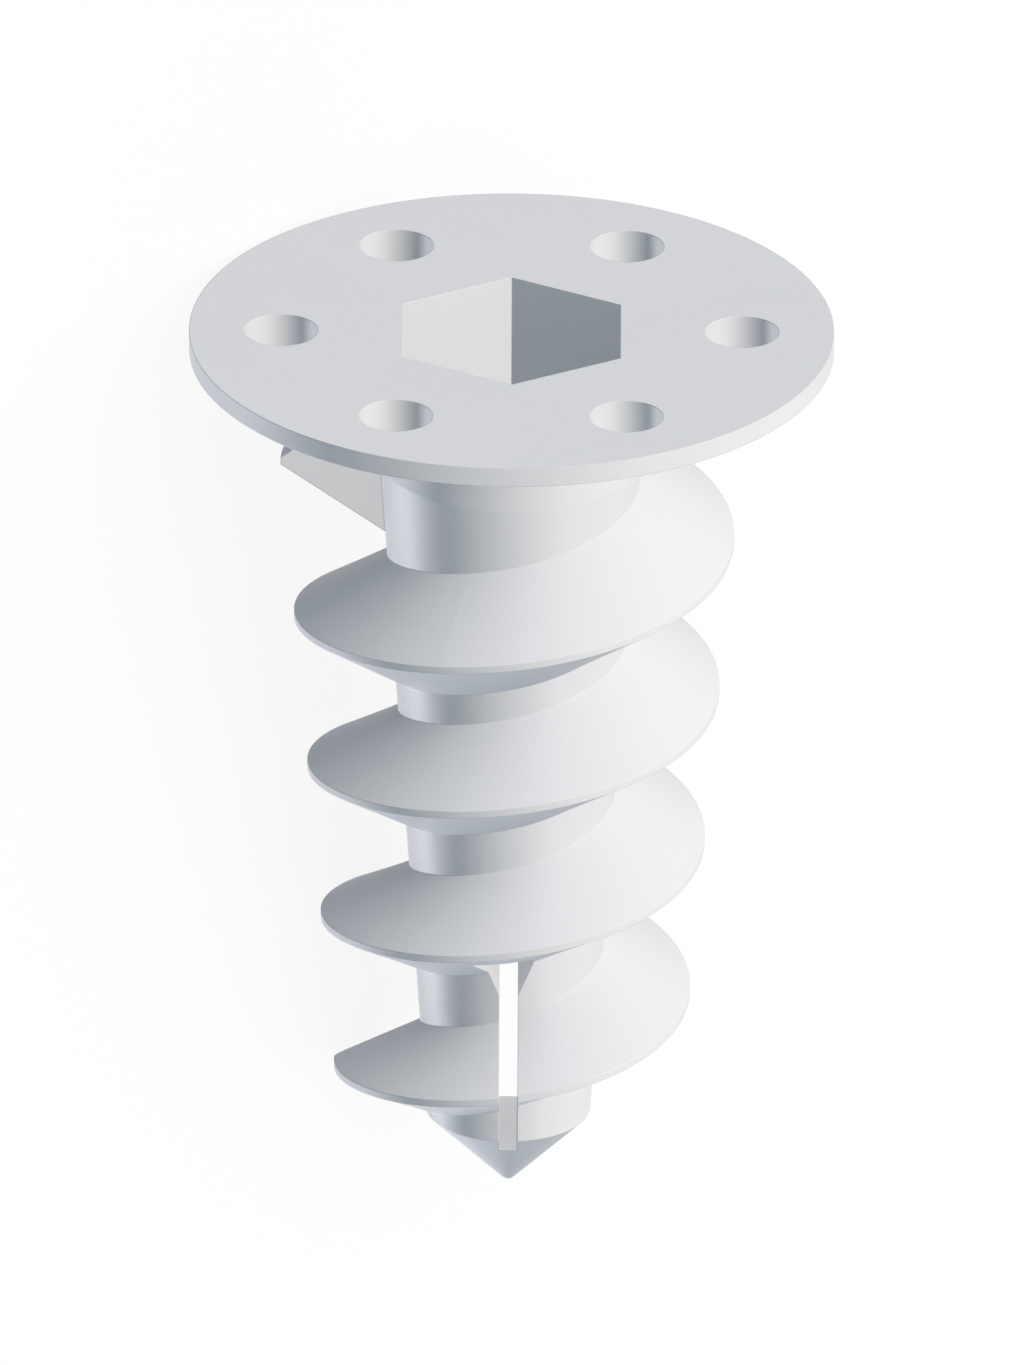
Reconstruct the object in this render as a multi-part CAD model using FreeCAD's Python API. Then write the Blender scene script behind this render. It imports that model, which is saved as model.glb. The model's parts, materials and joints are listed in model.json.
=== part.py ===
import FreeCAD, Part
import math
import os
from FreeCAD import Placement, Rotation, Vector

# Insulation anchor, moulded in one piece, in millimetres.
# The anchor is built upright: its axis is Z, the outer face of the flange is at
# Z = 0 and the tip points down, so every depth below is measured from that face.
# The front of the anchor faces -Y. At the end it is laid down as it comes to rest.

# Flange: flat on its outer face, and thinner towards its rim on the other side
FLANGE_DIA = 35.0
FLANGE_THICKNESS = 2.0
RIM_THICKNESS = 1.1
RIM_TAPER_WIDTH = 2.5
HOLE_DIA = 4.0
HOLE_CIRCLE_DIA = 25.0
HOLE_COUNT = 6

# Drive socket and the bore for the fixing screw
SOCKET_ACROSS_FLATS = 11.8
SOCKET_DEPTH = 7.0
BORE_DIA = 4.0

# Core: a straight collar around the socket, a slender taper and a pointed tip
COLLAR_WALL = 0.3
COLLAR_DIA = SOCKET_ACROSS_FLATS / math.cos(math.radians(30)) + 2 * COLLAR_WALL
COLLAR_PAST_SOCKET = 0.5
COLLAR_END_DEPTH = SOCKET_DEPTH + COLLAR_PAST_SOCKET
CORE_END_DIA = 8.9
CORE_END_DEPTH = 46.5
TIP_HALF_ANGLE = 45.0
TIP_RADIUS = 0.5

# Flight: the helical blade around the core
PITCH = 9.0
CREST_START_DEPTH = 7.85
CREST_END_MARGIN = 2.56
FULL_TURNS = (CORE_END_DEPTH - CREST_END_MARGIN - CREST_START_DEPTH) / PITCH
CREST_START_DIA = 25.0
CREST_END_DIA = 18.9
CREST_LAND = 0.4
ROOT_START_WIDTH = 0.983 * PITCH
ROOT_END_WIDTH = 0.661 * PITCH
RUN_OUT_ANGLE = 92.0
LAST_TURN = FULL_TURNS + RUN_OUT_ANGLE / 360
ROOT_SINK = 0.6

# Slot that lets the point spread, with a V that leads the screw into it
SLOT_WIDTH = 1.0
SLOT_LENGTH = 13.6
SLOT_INTO_TIP = 1.0
SLOT_FLOOR_DEPTH = CORE_END_DEPTH + SLOT_INTO_TIP
LEAD_IN_HALF_ANGLE = 23.0
LEAD_IN_TOP_DEPTH = SLOT_FLOOR_DEPTH - SLOT_LENGTH

# Side that faces the ground at rest, in degrees round the axis from +X
REST_SIDE = 140.0

# How finely the flight and its rest on the ground are worked out. Each flank is made
# of a few bands side by side, which keeps the facets of so twisted a face few.
FLANK_BANDS = 3
POINTS_PER_TURN = 12
REST_POINTS_PER_TURN = 180
TANGENT_STEP = 0.001
CUT_MARGIN = 1.0

NODE_NAME = "anchor_body"
OUT_DIR = "parts"


def polar(radius, angle, depth):
    """Point at a radius and an angle in radians, at a depth below the flange face."""
    return Vector(radius * math.cos(angle), radius * math.sin(angle), -depth)


def blend(start, end, share):
    return start + (end - start) * share


def core_radius(depth):
    """Radius of the tapered core at a depth below the flange face."""
    share = (depth - COLLAR_END_DEPTH) / (CORE_END_DEPTH - COLLAR_END_DEPTH)
    return blend(COLLAR_DIA, CORE_END_DIA, min(max(share, 0.0), 1.0)) / 2


def polyline(points):
    return [Part.makeLine(a, b) for a, b in zip(points, points[1:])]


def make_core():
    """Flange, collar, taper and rounded tip turned from one half profile."""
    collar_radius = COLLAR_DIA / 2
    half_angle = math.radians(TIP_HALF_ANGLE)
    apex_depth = CORE_END_DEPTH + CORE_END_DIA / 2 / math.tan(half_angle)
    tip_centre = Vector(0, 0, -apex_depth + TIP_RADIUS / math.sin(half_angle))
    tip_angles = [-half_angle, -(half_angle + math.pi / 2) / 2, -math.pi / 2]
    tip = [tip_centre + TIP_RADIUS * Vector(math.cos(a), 0, math.sin(a)) for a in tip_angles]
    sides = polyline([
        Vector(0, 0, 0),
        Vector(FLANGE_DIA / 2, 0, 0),
        Vector(FLANGE_DIA / 2, 0, -RIM_THICKNESS),
        Vector(FLANGE_DIA / 2 - RIM_TAPER_WIDTH, 0, -FLANGE_THICKNESS),
        Vector(collar_radius, 0, -FLANGE_THICKNESS),
        Vector(collar_radius, 0, -COLLAR_END_DEPTH),
        Vector(CORE_END_DIA / 2, 0, -CORE_END_DEPTH),
        tip[0],
    ])
    axis = polyline([tip[-1], Vector(0, 0, 0)])
    profile = Part.Face(Part.Wire(sides + [Part.Arc(*tip).toShape()] + axis))
    return profile.revolve(Vector(0, 0, 0), Vector(0, 0, 1), 360)


class Section:
    """Cross-section of the flight after a number of turns from its upper end."""

    def __init__(self, turns):
        share = min(turns / FULL_TURNS, 1.0)
        full_radius = blend(CREST_START_DIA, CREST_END_DIA, share) / 2
        half_width = blend(ROOT_START_WIDTH, ROOT_END_WIDTH, share) / 2
        self.angle = math.pi - 2 * math.pi * turns
        self.depth = CREST_START_DEPTH + PITCH * turns
        self.root_radius = core_radius(self.depth) - ROOT_SINK
        # The run-out draws the crest in under the surface of the core. The lower flank
        # closes with it, so that the blade stays clear of the cone of the tip.
        fade = max(turns - FULL_TURNS, 0.0) * 360 / RUN_OUT_ANGLE
        self.crest_radius = blend(full_radius, self.root_radius + ROOT_SINK / 4, fade)
        self.upper_width = half_width
        self.lower_width = blend(half_width, CREST_LAND / 2, fade)

    def flank(self, edge_depth, root_depth):
        """Points down one flank, from the edge of the crest to the root."""
        shares = [band / FLANK_BANDS for band in range(FLANK_BANDS + 1)]
        return [
            polar(
                blend(self.crest_radius, self.root_radius, share),
                self.angle,
                blend(edge_depth, root_depth, share),
            )
            for share in shares
        ]

    def corners(self):
        """Points round the section, from the upper root over the crest to the lower root."""
        upper = self.flank(self.depth - CREST_LAND / 2, self.depth - self.upper_width)
        lower = self.flank(self.depth + CREST_LAND / 2, self.depth + self.lower_width)
        return upper[::-1] + lower


def flight_turns(start, end, per_turn=POINTS_PER_TURN):
    """Evenly spaced numbers of turns from one end of a stretch to the other."""
    steps = max(math.ceil((end - start) * per_turn), 4)
    return [blend(start, end, step / steps) for step in range(steps + 1)]


def helical_edge(corner, start, end):
    """Smooth edge that one corner of the section traces along the flight."""
    turns = flight_turns(start, end)
    points = [Section(turn).corners()[corner] for turn in turns]
    first = Section(start + TANGENT_STEP).corners()[corner] - points[0]
    final = points[-1] - Section(end - TANGENT_STEP).corners()[corner]
    curve = Part.BSplineCurve()
    curve.interpolate(
        Points=points,
        Parameters=turns,
        InitialTangent=first / TANGENT_STEP,
        FinalTangent=final / TANGENT_STEP,
        Scale=False,
    )
    return curve.toShape()


def flight_faces(start, end):
    """Flanks, crest and buried root of a stretch of the flight."""
    count = len(Section(start).corners())
    edges = [helical_edge(corner, start, end) for corner in range(count)]
    return [Part.makeRuledSurface(edges[i - 1], edges[i]) for i in range(count)]


def end_face(turns):
    corners = Section(turns).corners()
    return Part.Face(Part.makePolygon(corners + corners[:1]))


def make_flight():
    """Helical blade that tapers with the core and fades out near the tip."""
    stretches = math.ceil(FULL_TURNS)
    stops = [FULL_TURNS * i / stretches for i in range(stretches + 1)] + [LAST_TURN]
    faces = [end_face(0), end_face(LAST_TURN)]
    for start, end in zip(stops, stops[1:]):
        faces += flight_faces(start, end)
    shell = Part.Shell(faces)
    shell.sewShape()
    solid = Part.Solid(shell)
    if solid.Volume < 0:
        solid.reverse()
    return solid


def make_socket():
    """Hexagonal drive recess with corners at the front and the back."""
    corner_radius = SOCKET_ACROSS_FLATS / 2 / math.cos(math.radians(30))
    corners = [polar(corner_radius, math.radians(30 + 60 * i), 0) for i in range(7)]
    hexagon = Part.Face(Part.makePolygon(corners))
    socket = hexagon.extrude(Vector(0, 0, -SOCKET_DEPTH))
    return socket


def make_bore():
    """Round hole from the floor of the socket down to the lead-in."""
    start = Vector(0, 0, -SOCKET_DEPTH + CUT_MARGIN)
    length = LEAD_IN_TOP_DEPTH - SOCKET_DEPTH + CUT_MARGIN
    return Part.makeCylinder(BORE_DIA / 2, length, start, Vector(0, 0, -1))


def make_flange_holes():
    holes = []
    for i in range(HOLE_COUNT):
        angle = 2 * math.pi * i / HOLE_COUNT
        start = polar(HOLE_CIRCLE_DIA / 2, angle, -CUT_MARGIN)
        length = FLANGE_THICKNESS + 2 * CUT_MARGIN
        holes.append(Part.makeCylinder(HOLE_DIA / 2, length, start, Vector(0, 0, -1)))
    return holes


def make_slot():
    """Slot through the point from front to back, widened to the bore by a V."""
    half_slot = SLOT_WIDTH / 2
    half_top = BORE_DIA / 2
    throat_depth = LEAD_IN_TOP_DEPTH + (half_top - half_slot) / math.tan(math.radians(LEAD_IN_HALF_ANGLE))
    outline = [
        (-half_top, LEAD_IN_TOP_DEPTH),
        (half_top, LEAD_IN_TOP_DEPTH),
        (half_slot, throat_depth),
        (half_slot, SLOT_FLOOR_DEPTH),
        (-half_slot, SLOT_FLOOR_DEPTH),
        (-half_slot, throat_depth),
    ]
    reach = CREST_START_DIA / 2 + CUT_MARGIN
    points = [Vector(x, -reach, -depth) for x, depth in outline]
    return Part.Face(Part.makePolygon(points + points[:1])).extrude(Vector(0, 2 * reach, 0))


def rest_tilt():
    """Tilt of the axis when the anchor lies on the edge of its flange and its flight."""
    side = math.radians(REST_SIDE)
    tilts = []
    for turn in flight_turns(0, LAST_TURN, REST_POINTS_PER_TURN):
        section = Section(turn)
        drop = FLANGE_DIA / 2 - section.crest_radius * math.cos(section.angle - side)
        reach = section.depth + CREST_LAND / 2 - RIM_THICKNESS
        tilts.append(math.degrees(math.atan2(drop, reach)))
    return min(tilts)


def lay_down(solid):
    """Turns the upright anchor onto its side, with its flange towards -Y."""
    roll = Rotation(Vector(0, 0, 1), -90 - REST_SIDE)
    tip_over = Rotation(Vector(1, 0, 0), 90 - rest_tilt())
    laid = solid.copy()
    laid.Placement = Placement(Vector(0, 0, 0), tip_over.multiply(roll))
    return laid


def make_anchor():
    """The whole moulding, still upright."""
    solid = make_core().fuse(make_flight())
    cutters = [make_socket(), make_bore(), make_slot()] + make_flange_holes()
    return solid.cut(cutters).Solids[0]


os.makedirs(OUT_DIR, exist_ok=True)
lay_down(make_anchor()).exportStep(os.path.join(OUT_DIR, NODE_NAME + ".step"))
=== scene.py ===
import json
import math
import bpy
from mathutils import Matrix, Vector


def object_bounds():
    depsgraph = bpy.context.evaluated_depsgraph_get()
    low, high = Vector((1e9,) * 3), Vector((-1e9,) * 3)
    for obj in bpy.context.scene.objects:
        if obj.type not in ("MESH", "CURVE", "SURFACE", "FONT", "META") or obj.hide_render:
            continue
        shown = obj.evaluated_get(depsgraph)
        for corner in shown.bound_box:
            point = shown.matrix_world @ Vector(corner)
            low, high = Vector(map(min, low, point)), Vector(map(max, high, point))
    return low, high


# Insulation anchor moulded in white nylon, lying on a pale floor, in metres.
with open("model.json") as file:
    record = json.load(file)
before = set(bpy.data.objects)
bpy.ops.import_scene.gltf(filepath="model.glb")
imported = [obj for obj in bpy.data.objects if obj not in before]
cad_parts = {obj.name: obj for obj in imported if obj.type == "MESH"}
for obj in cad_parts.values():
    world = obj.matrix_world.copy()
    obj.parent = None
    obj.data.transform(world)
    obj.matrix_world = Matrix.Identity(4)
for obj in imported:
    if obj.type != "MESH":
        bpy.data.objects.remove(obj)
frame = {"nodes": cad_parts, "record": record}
cad_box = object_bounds()

# Directions are in degrees round the anchor as if it stood upright: the azimuth starts
# at its right and grows towards its back, and the elevation starts from level.

# How the photograph looks at the anchor: without perspective, from above the outer
# face of the flange, with the front of the anchor towards the camera.
IMAGE_WIDTH = 1024
IMAGE_HEIGHT = 1365
FLANGE_WIDTH_PX = 645.4
FLANGE_CENTRE_PX = (511.16, 330.53)
FLANGE_DIA = 0.035
CAMERA_AZIMUTH = -90.0
CAMERA_ELEVATION = 25.22
CAMERA_ROLL = 0.262
CAMERA_DISTANCE = 0.3
CAMERA_NEAR = 0.01
CAMERA_FAR = 2.0

# Azimuth of the flange_face mount
FACE_MOUNT_AZIMUTH = 30.0

# Name of each lamp, azimuth and elevation it shines from, strength and colour
LAMPS = (
    ("key", -34.7, 30.9, 3.6, (1.0, 0.942, 0.895)),
    ("fill", 150.0, -40.0, 2.25, (0.965, 0.945, 1.0)),
    ("front_low", -34.0, -40.0, 0.55, (0.61, 0.77, 1.0)),
    ("side", -150.0, -20.0, 0.58, (0.69, 0.85, 1.0)),
    ("top", 0.0, 90.0, 0.69, (0.67, 0.82, 1.0)),
)

# Diffuse Depth below which no matt surface has passed the light on
PASSED_ON_DEPTH = 0.5

# Soft light from all round, which gives the floor its shadow
WORLD_COLOR = (0.19, 0.21, 0.23, 1.0)
WHITE = (1.0, 1.0, 1.0, 1.0)

# White nylon as it comes out of a spark-eroded mould
NYLON_COLOR = (0.68, 0.68, 0.68, 1.0)
NYLON_SHADE_COLOR = (0.66, 0.662, 0.665, 1.0)
NYLON_IOR = 1.53
ROUGHNESS_LOW = 0.45
ROUGHNESS_HIGH = 0.55
FLOW_SCALE = 90.0
FLOW_DETAIL = 3.0
FLOW_DISTORTION = 0.6
GRAIN_SCALE = 5200.0
GRAIN_DETAIL = 2.0
GRAIN_HEIGHT = 0.000006
EDGE_RADIUS = 0.00008
EDGE_SAMPLES = 6

FLOOR_COLOR = (0.73, 0.745, 0.75, 1.0)
FLOOR_SIZE = 2.0


def upright_axes():
    """Right, back and up of the anchor as if it stood upright, from its mounts."""
    mounts = {mount["name"]: mount for mount in frame["record"]["mounts"]}
    up = Vector(mounts["flange_holes"]["axis"]).normalized()
    to_mount = Vector(mounts["flange_face"]["pos_m"]).normalized()
    right = Matrix.Rotation(-math.radians(FACE_MOUNT_AZIMUTH), 3, up) @ to_mount
    return right, up.cross(right), up


RIGHT, BACK, UP = upright_axes()


def direction(azimuth, elevation):
    """Direction from the anchor, as a vector of length one."""
    azimuth, elevation = math.radians(azimuth), math.radians(elevation)
    level = math.cos(azimuth) * RIGHT + math.sin(azimuth) * BACK
    return math.cos(elevation) * level + math.sin(elevation) * UP


def empty_tree(owner):
    """Node tree of a material, lamp or world, without the nodes it starts with."""
    owner.use_nodes = True
    owner.node_tree.nodes.clear()
    return owner.node_tree


def output(node, name):
    """The output of that name that is in use, as a mix node has several with one name."""
    return next(socket for socket in node.outputs if socket.name == name and socket.enabled)


def add_node(tree, kind, inputs, **settings):
    """Adds a node; each named input gets a constant or the output of another node."""
    node = tree.nodes.new(kind)
    for name, value in settings.items():
        setattr(node, name, value)
    for name, value in inputs.items():
        socket = next(s for s in node.inputs if s.name == name and s.enabled)
        if isinstance(value, bpy.types.NodeSocket):
            tree.links.new(value, socket)
        else:
            socket.default_value = value
    return node


def seen_rays(tree):
    """1 for what the camera sees, straight, in a gloss or through glass, otherwise 0."""
    path = add_node(tree, "ShaderNodeLightPath", {})
    seen = path.outputs["Is Camera Ray"]
    for name in ("Is Glossy Ray", "Is Transmission Ray"):
        either = add_node(tree, "ShaderNodeMath", {}, operation="MAXIMUM")
        tree.links.new(seen, either.inputs[0])
        tree.links.new(path.outputs[name], either.inputs[1])
        seen = either.outputs["Value"]
    return seen


def make_nylon():
    """Satin white nylon with faint flow clouds and the fine grain of its mould."""
    material = bpy.data.materials.new("white_nylon")
    tree = empty_tree(material)
    place = add_node(tree, "ShaderNodeTexCoord", {}).outputs["Object"]
    flow = add_node(tree, "ShaderNodeTexNoise", {
        "Vector": place,
        "Scale": FLOW_SCALE,
        "Detail": FLOW_DETAIL,
        "Distortion": FLOW_DISTORTION,
    }).outputs["Fac"]
    grain = add_node(tree, "ShaderNodeTexNoise", {
        "Vector": place,
        "Scale": GRAIN_SCALE,
        "Detail": GRAIN_DETAIL,
    }).outputs["Fac"]
    tint = add_node(tree, "ShaderNodeMix", {
        "Factor": flow,
        "A": NYLON_SHADE_COLOR,
        "B": NYLON_COLOR,
    }, data_type="RGBA")
    roughness = add_node(tree, "ShaderNodeMapRange", {
        "Value": grain,
        "To Min": ROUGHNESS_LOW,
        "To Max": ROUGHNESS_HIGH,
    })
    rounded_edges = add_node(tree, "ShaderNodeBevel", {
        "Radius": EDGE_RADIUS,
    }, samples=EDGE_SAMPLES)
    bump = add_node(tree, "ShaderNodeBump", {
        "Normal": rounded_edges.outputs["Normal"],
        "Height": grain,
        "Strength": 1.0,
        "Distance": GRAIN_HEIGHT,
    })
    shader = add_node(tree, "ShaderNodeBsdfPrincipled", {
        "Base Color": output(tint, "Result"),
        "Roughness": roughness.outputs["Result"],
        "Normal": bump.outputs["Normal"],
        "IOR": NYLON_IOR,
    })
    add_node(tree, "ShaderNodeOutputMaterial", {"Surface": shader.outputs["BSDF"]})
    return material


def finish_anchor():
    """Gives the moulding its nylon."""
    nylon = make_nylon()
    anchor = frame["nodes"]["anchor_body"]
    for slot in anchor.material_slots:
        slot.material = nylon


def make_floor():
    """Plain white floor that the anchor lies on."""
    half = FLOOR_SIZE / 2
    height = cad_box[0].z
    corners = [(-half, -half), (half, -half), (half, half), (-half, half)]
    mesh = bpy.data.meshes.new("floor")
    mesh.from_pydata([(x, y, height) for x, y in corners], [], [(0, 1, 2, 3)])
    floor = bpy.data.objects.new("floor", mesh)
    bpy.context.scene.collection.objects.link(floor)
    material = bpy.data.materials.new("floor_white")
    tree = empty_tree(material)
    diffuse = add_node(tree, "ShaderNodeBsdfDiffuse", {"Color": FLOOR_COLOR})
    add_node(tree, "ShaderNodeOutputMaterial", {"Surface": diffuse.outputs["BSDF"]})
    mesh.materials.append(material)


def add_lamp(name, azimuth, elevation, strength, color):
    """Lamp far away in a direction from the anchor, which casts no shadow.

    The photograph has no light thrown from one matt surface to the next, so the lamp
    shines only where no matt surface has passed its light on.
    """
    lamp = bpy.data.lights.new(name, "SUN")
    lamp.energy = strength
    lamp.color = color
    lamp.use_shadow = False
    tree = empty_tree(lamp)
    path = add_node(tree, "ShaderNodeLightPath", {})
    straight = add_node(tree, "ShaderNodeMath", {}, operation="LESS_THAN")
    tree.links.new(path.outputs["Diffuse Depth"], straight.inputs[0])
    straight.inputs[1].default_value = PASSED_ON_DEPTH
    light = add_node(tree, "ShaderNodeEmission", {"Strength": straight.outputs["Value"]})
    add_node(tree, "ShaderNodeOutputLight", {"Surface": light.outputs["Emission"]})
    holder = bpy.data.objects.new(name, lamp)
    holder.rotation_mode = "QUATERNION"
    holder.rotation_quaternion = direction(azimuth, elevation).to_track_quat("Z", "Y")
    bpy.context.scene.collection.objects.link(holder)


def make_world():
    """Soft light from all round, and plain white wherever the surroundings are seen."""
    world = bpy.data.worlds.new("studio")
    tree = empty_tree(world)
    soft = add_node(tree, "ShaderNodeBackground", {"Color": WORLD_COLOR})
    white = add_node(tree, "ShaderNodeBackground", {"Color": WHITE})
    mix = add_node(tree, "ShaderNodeMixShader", {"Fac": seen_rays(tree)})
    tree.links.new(soft.outputs["Background"], mix.inputs[1])
    tree.links.new(white.outputs["Background"], mix.inputs[2])
    add_node(tree, "ShaderNodeOutputWorld", {"Surface": mix.outputs["Shader"]})
    bpy.context.scene.world = world


def make_camera():
    """Camera without perspective, which puts the flange where the photograph has it."""
    scale = FLANGE_DIA / FLANGE_WIDTH_PX
    back = direction(CAMERA_AZIMUTH, CAMERA_ELEVATION)
    roll = Matrix.Rotation(math.radians(CAMERA_ROLL), 3, back)
    right = roll @ RIGHT
    up = back.cross(right)
    to_right = (IMAGE_WIDTH - 1) / 2 - FLANGE_CENTRE_PX[0]
    to_top = FLANGE_CENTRE_PX[1] - (IMAGE_HEIGHT - 1) / 2
    aim = (to_right * right + to_top * up) * scale
    camera = bpy.data.cameras.new("camera")
    camera.type = "ORTHO"
    camera.ortho_scale = IMAGE_HEIGHT * scale
    camera.clip_start = CAMERA_NEAR
    camera.clip_end = CAMERA_FAR
    holder = bpy.data.objects.new("camera", camera)
    axes = Matrix((right, up, back)).transposed().to_4x4()
    holder.matrix_world = Matrix.Translation(aim + back * CAMERA_DISTANCE) @ axes
    bpy.context.scene.collection.objects.link(holder)
    bpy.context.scene.camera = holder


finish_anchor()
make_floor()
for lamp_settings in LAMPS:
    add_lamp(*lamp_settings)
make_world()
make_camera()
bpy.context.scene.view_settings.view_transform = "Standard"
